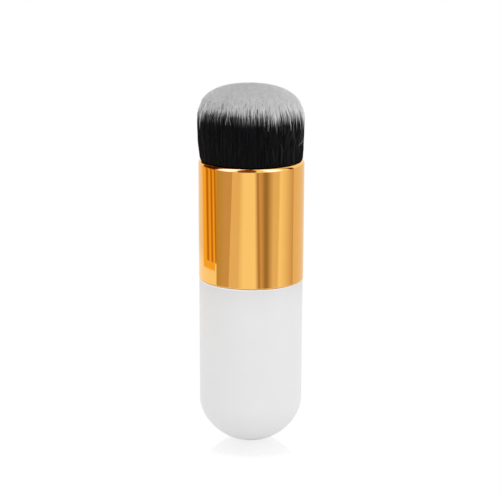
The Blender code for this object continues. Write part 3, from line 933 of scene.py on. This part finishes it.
def make_camera():
    data = bpy.data.cameras.new("camera")
    data.sensor_width = SENSOR_WIDTH
    data.lens = LENS
    camera = bpy.data.objects.new("camera", data)
    bpy.context.scene.collection.objects.link(camera)
    back = CAMERA_DISTANCE * math.cos(CAMERA_RISE)
    camera.location = (0, -back, CAMERA_TARGET_Z + CAMERA_DISTANCE * math.sin(CAMERA_RISE))
    turn = Euler((math.pi / 2 - CAMERA_PITCH, 0, CAMERA_YAW)).to_matrix()
    roll = Euler((0, 0, CAMERA_ROLL)).to_matrix()
    camera.rotation_euler = (turn @ roll).to_euler()
    bpy.context.scene.camera = camera


def ray_share(nodes, links, *kinds):
    """1 for rays of any of these kinds, as Light Path names them, else 0."""
    path = nodes.new("ShaderNodeLightPath")
    value = path.outputs[kinds[0]]
    for kind in kinds[1:]:
        either = nodes.new("ShaderNodeMath")
        either.operation = "MAXIMUM"
        links.new(value, either.inputs[0])
        links.new(path.outputs[kind], either.inputs[1])
        value = either.outputs["Value"]
    return value


def make_world():
    world = bpy.data.worlds.new("studio")
    world.use_nodes = True
    nodes, links = world.node_tree.nodes, world.node_tree.links
    light = nodes["Background"]
    light.inputs["Color"].default_value = (1, 1, 1, 1)
    light.inputs["Strength"].default_value = WORLD_STRENGTH
    seen = nodes.new("ShaderNodeBackground")
    seen.inputs["Color"].default_value = (1, 1, 1, 1)
    mix = nodes.new("ShaderNodeMixShader")
    share = ray_share(nodes, links, "Is Camera Ray", "Is Glossy Ray", "Is Transmission Ray")
    links.new(share, mix.inputs["Fac"])
    links.new(light.outputs["Background"], mix.inputs[1])
    links.new(seen.outputs["Background"], mix.inputs[2])
    links.new(mix.outputs["Shader"], nodes["World Output"].inputs["Surface"])
    bpy.context.scene.world = world


def floor_material():
    """White board. The camera and reflections see it white, with a soft shadow and near the foot a
    mirror image that fades out."""
    material, nodes, links, shader = new_material("floor_board")
    nodes.remove(shader)
    bounce = nodes.new("ShaderNodeBsdfDiffuse")
    bounce.inputs["Color"].default_value = (FLOOR_ALBEDO, FLOOR_ALBEDO, FLOOR_ALBEDO, 1)
    glow = nodes.new("ShaderNodeEmission")
    glow.inputs["Strength"].default_value = FLOOR_GLOW
    shadowed = nodes.new("ShaderNodeBsdfDiffuse")
    shade = FLOOR_SHADOW_SHARE
    shadowed.inputs["Color"].default_value = (shade, shade, shade, 1)
    board = nodes.new("ShaderNodeAddShader")
    links.new(glow.outputs["Emission"], board.inputs[0])
    links.new(shadowed.outputs["BSDF"], board.inputs[1])
    mirror = nodes.new("ShaderNodeBsdfGlossy")
    mirror.inputs["Color"].default_value = (1, 1, 1, 1)
    mirror.inputs["Roughness"].default_value = 0.0
    place = nodes.new("ShaderNodeNewGeometry")
    length = nodes.new("ShaderNodeVectorMath")
    length.operation = "LENGTH"
    links.new(place.outputs["Position"], length.inputs[0])
    fade = nodes.new("ShaderNodeMapRange")
    fade.interpolation_type = "SMOOTHSTEP"
    fade.inputs["From Min"].default_value = MIRROR_START
    fade.inputs["From Max"].default_value = MIRROR_END
    fade.inputs["To Min"].default_value = MIRROR_SHARE
    fade.inputs["To Max"].default_value = 0.0
    links.new(length.outputs["Value"], fade.inputs["Value"])
    seen = nodes.new("ShaderNodeMixShader")
    links.new(fade.outputs["Result"], seen.inputs["Fac"])
    links.new(board.outputs["Shader"], seen.inputs[1])
    links.new(mirror.outputs["BSDF"], seen.inputs[2])
    mix = nodes.new("ShaderNodeMixShader")
    share = ray_share(nodes, links, "Is Camera Ray", "Is Glossy Ray", "Is Transmission Ray")
    links.new(share, mix.inputs["Fac"])
    links.new(bounce.outputs["BSDF"], mix.inputs[1])
    links.new(seen.outputs["Shader"], mix.inputs[2])
    links.new(mix.outputs["Shader"], nodes["Material Output"].inputs["Surface"])
    return material


def make_floor():
    rim = []
    for i in range(FLOOR_STEPS):
        angle = 2 * math.pi * i / FLOOR_STEPS
        rim.append((FLOOR_RADIUS * math.cos(angle), FLOOR_RADIUS * math.sin(angle), -FLOOR_DROP))
    mesh = bpy.data.meshes.new("floor")
    mesh.from_pydata(rim, [], [list(range(FLOOR_STEPS))])
    mesh.materials.append(floor_material())
    floor = bpy.data.objects.new("floor", mesh)
    bpy.context.scene.collection.objects.link(floor)


def make_key_light():
    data = bpy.data.lights.new("key", "AREA")
    data.shape = "SQUARE"
    data.size = KEY_LIGHT["size"]
    data.energy = KEY_LIGHT["power"]
    lamp = bpy.data.objects.new("key", data)
    lamp.location = KEY_LIGHT["place"]
    lamp.rotation_euler = (-lamp.location).to_track_quat("-Z", "Y").to_euler()
    lamp.visible_glossy = False
    bpy.context.scene.collection.objects.link(lamp)


def card_material():
    """Reflector cards, lit evenly. Their tone is painted on their corners. The floor's mirror image,
    the one perfectly sharp reflection here, leaves them out."""
    material, nodes, links, shader = new_material("reflector_card")
    nodes.remove(shader)
    tone = nodes.new("ShaderNodeAttribute")
    tone.attribute_name = "tone"
    glow = nodes.new("ShaderNodeEmission")
    links.new(tone.outputs["Color"], glow.inputs["Color"])
    clear = nodes.new("ShaderNodeBsdfTransparent")
    mix = nodes.new("ShaderNodeMixShader")
    links.new(ray_share(nodes, links, "Is Singular Ray"), mix.inputs["Fac"])
    links.new(glow.outputs["Emission"], mix.inputs[1])
    links.new(clear.outputs["BSDF"], mix.inputs[2])
    links.new(mix.outputs["Shader"], nodes["Material Output"].inputs["Surface"])
    return material


def stage_card(name, vertices, faces, tones, material):
    """A card that only reflections see: it neither shows nor lights the brush."""
    mesh = bpy.data.meshes.new(name)
    mesh.from_pydata(vertices, [], faces)
    paint = mesh.attributes.new("tone", "FLOAT_COLOR", "POINT")
    paint.data.foreach_set("color", np.array(tones, np.float32).ravel())
    mesh.materials.append(material)
    card = bpy.data.objects.new(name, mesh)
    bpy.context.scene.collection.objects.link(card)
    card.visible_camera = False
    card.visible_diffuse = False
    card.visible_transmission = False
    card.visible_shadow = False


def card_tone(level):
    """A card's colour as it is, or the warm grey of its level. Metal that mirrors a dim card looks
    deeper in colour, as in the photo."""
    if isinstance(level, tuple):
        return level + (1.0,)
    return (level, level**1.5, level**2, 1.0)


def wall_card(name, stops, lean, material, radius=CARD_RADIUS, foot=CARD_FOOT, fade=CARD_FADE):
    """Curved card that stands just over the floor. A stop is an angle at the card's foot, in degrees
    from the photo's camera towards +X, and the tone there. Lean is by how many degrees the card's top
    stands off from its foot, at its first and at its last stop. Above its top the card goes straight
    up to its rim, and over the height of its fade it pales down to the white of the floor."""
    angles = [angle for angle, tone in stops]
    tones = np.array([card_tone(tone) for angle, tone in stops])
    knots = np.arange(len(stops))
    fine = np.linspace(0, knots[-1], CARD_STEPS * knots[-1] + 1)
    vertices, colours = [], []
    for along in fine:
        low = np.interp(along, knots, angles)
        shift = np.interp(low, (angles[0], angles[-1]), lean)
        tone = np.array([np.interp(along, knots, tones[:, k]) for k in range(4)])
        for z in (foot, foot + fade, CARD_TOP, CARD_RIM):
            rise = min((z - foot) / (CARD_TOP - foot), 1)
            angle = math.radians(low + shift * rise)
            vertices.append((radius * math.sin(angle), -radius * math.cos(angle), z))
            colours.append(tone if z > foot else np.ones(4))
    faces = []
    for i in range(len(fine) - 1):
        for k in range(4 * i, 4 * i + 3):
            faces.append((k, k + 4, k + 5, k + 1))
    stage_card(name, vertices, faces, colours, material)


def overhead_panel(name, middle, half_width, low, high, level, rim_level, radius, material):
    """Oval panel, bulged round the brush, that fades from its middle to its rim.
    Angles and elevations are in degrees."""
    vertices, tones, faces = [], [], []
    steps, rings = PANEL_STEPS, PANEL_RINGS
    elevation, half_height = (low + high) / 2, (high - low) / 2
    centre, rim = np.array(card_tone(level)), np.array(card_tone(rim_level))
    for k in range(rings + 1):
        tone = centre + (rim - centre) * (k / rings) ** 2
        for i in range(steps):
            turn = 2 * math.pi * i / steps
            angle = math.radians(middle + half_width * k / rings * math.cos(turn))
            rise = math.radians(elevation + half_height * k / rings * math.sin(turn))
            flat = radius * math.cos(rise)
            vertices.append((flat * math.sin(angle), -flat * math.cos(angle), radius * math.sin(rise)))
            tones.append(tone)
    for k in range(rings):
        for i in range(steps):
            j = (i + 1) % steps
            faces.append((k * steps + i, k * steps + j, (k + 1) * steps + j, (k + 1) * steps + i))
    stage_card(name, vertices, faces, tones, material)


def make_reflections():
    """What the metal mirrors: a guess at the studio, in whole degrees. The places of
    the bands were measured on the photo first."""
    material = card_material()
    wall_card("left_far", [(-166, NEAR_WHITE), (-118, NEAR_WHITE)], (0, -10), material, FAR_RADIUS)
    orange = [(-124, ORANGE), (-83, ORANGE)]
    wall_card("orange_card", orange, (-9, -3), material, ORANGE_RADIUS, CARD_FOOT, SHARP_FADE)
    for name, start, end in (("slat_a", -112, -98), ("slat_b", -96, -86), ("slat_c", -84, -76)):
        slat = [(start, ORANGE), ((start + end) / 2, BURNT_ORANGE), (end, ORANGE)]
        wall_card(name, slat, (-7, -4), material, SLAT_RADIUS, SLAT_FOOT, SHARP_FADE)
    wall_card("left_grey", [(-78, OLIVE), (-60, GREY), (-50, GREY)], (0, 12), material)
    pale = [(-50, PALE), (-30, PALE), (-18, WHITE), (9, WHITE), (17, DIM), (20, DIM)]
    wall_card("left_pale", pale, (12, -6), material)
    smoke = [(20, GREY), (24, GREY), (30, SMOKE), (34, SMOKE), (46, PALE), (55, PALE)]
    wall_card("right_dark", smoke, (-6, 5), material)
    wall_card("right_mid", [(55, PALE), (60, WHITE), (72, NEAR_WHITE), (100, GREY)], (5, 0), material)
    wall_card("right_edge", [(100, PALE), (166, NEAR_WHITE)], (0, 0), material)
    for panel in OVERHEAD_PANELS:
        overhead_panel(*panel, material)


make_camera()
make_world()
make_floor()
make_key_light()
make_reflections()
make_handle()
make_ferrule()
make_tuft()
dress_inner_pieces()
bpy.context.scene.view_settings.view_transform = "Standard"
